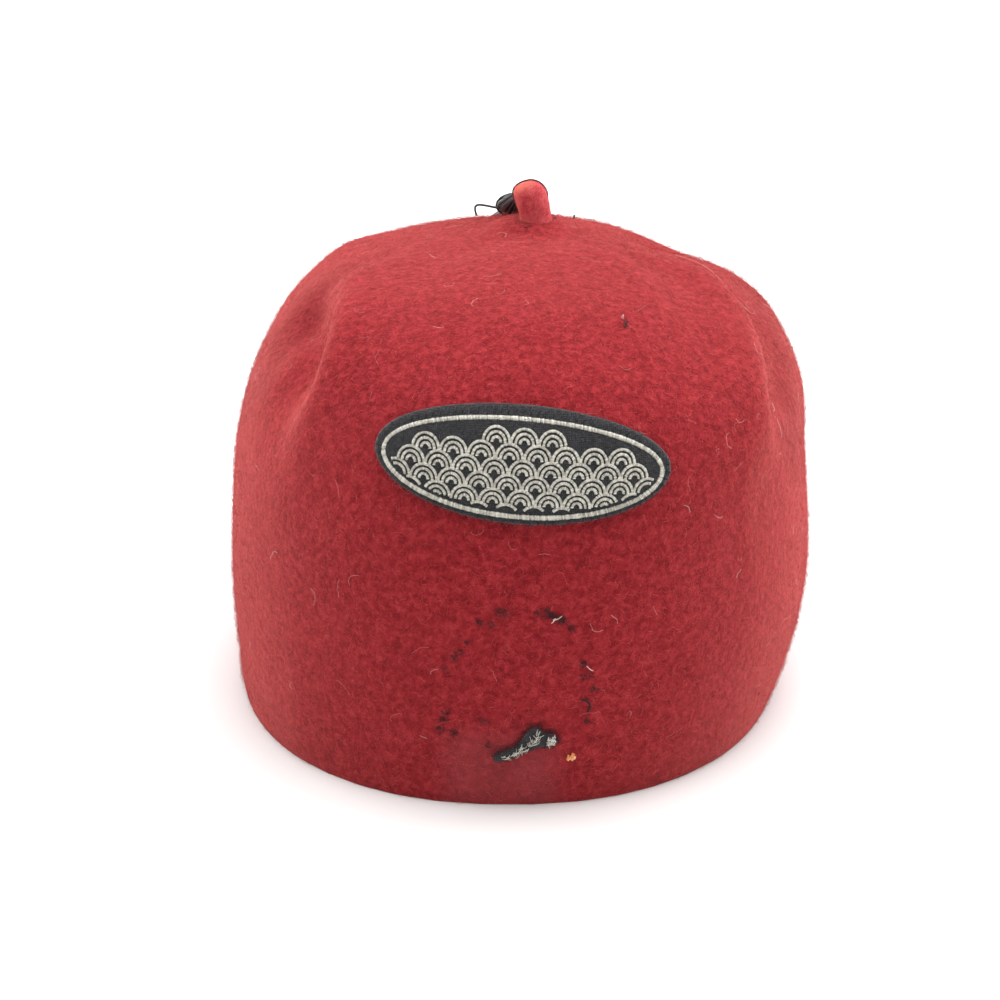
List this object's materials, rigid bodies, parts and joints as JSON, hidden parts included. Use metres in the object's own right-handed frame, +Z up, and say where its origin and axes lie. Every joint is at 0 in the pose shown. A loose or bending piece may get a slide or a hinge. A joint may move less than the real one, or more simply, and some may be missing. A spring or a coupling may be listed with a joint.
{
  "type": "fez hat",
  "caption": "Soft rounded wool-felt fez with an open head hollow, a short felt stem and a tassel on the crown, and an oval cloth patch sewn to the front.",
  "frame": {"origin": "bottom centre of the hat's box, on the plane of the rim", "axes": "+Z up through the crown, -Y towards the front of the hat, +X to the right as seen from the front"},
  "size_m": [0.1731, 0.2036, 0.146],
  "materials": {
    "crown_felt": "brushed wool felt, matt, worn",
    "stem_felt": "wool felt, matt",
    "tassel_thread": "twisted silk-like thread, slightly glossy",
    "patch_cloth": "fine wool cloth with satin-stitched thread",
    "scrap_cloth": "torn, frayed cloth"
  },
  "bodies": {
    "root": {"crown": "crown_felt", "stem": "stem_felt", "tassel": "tassel_thread", "front_patch": "patch_cloth", "cloth_scrap": "scrap_cloth"}
  },
  "joints": []
}
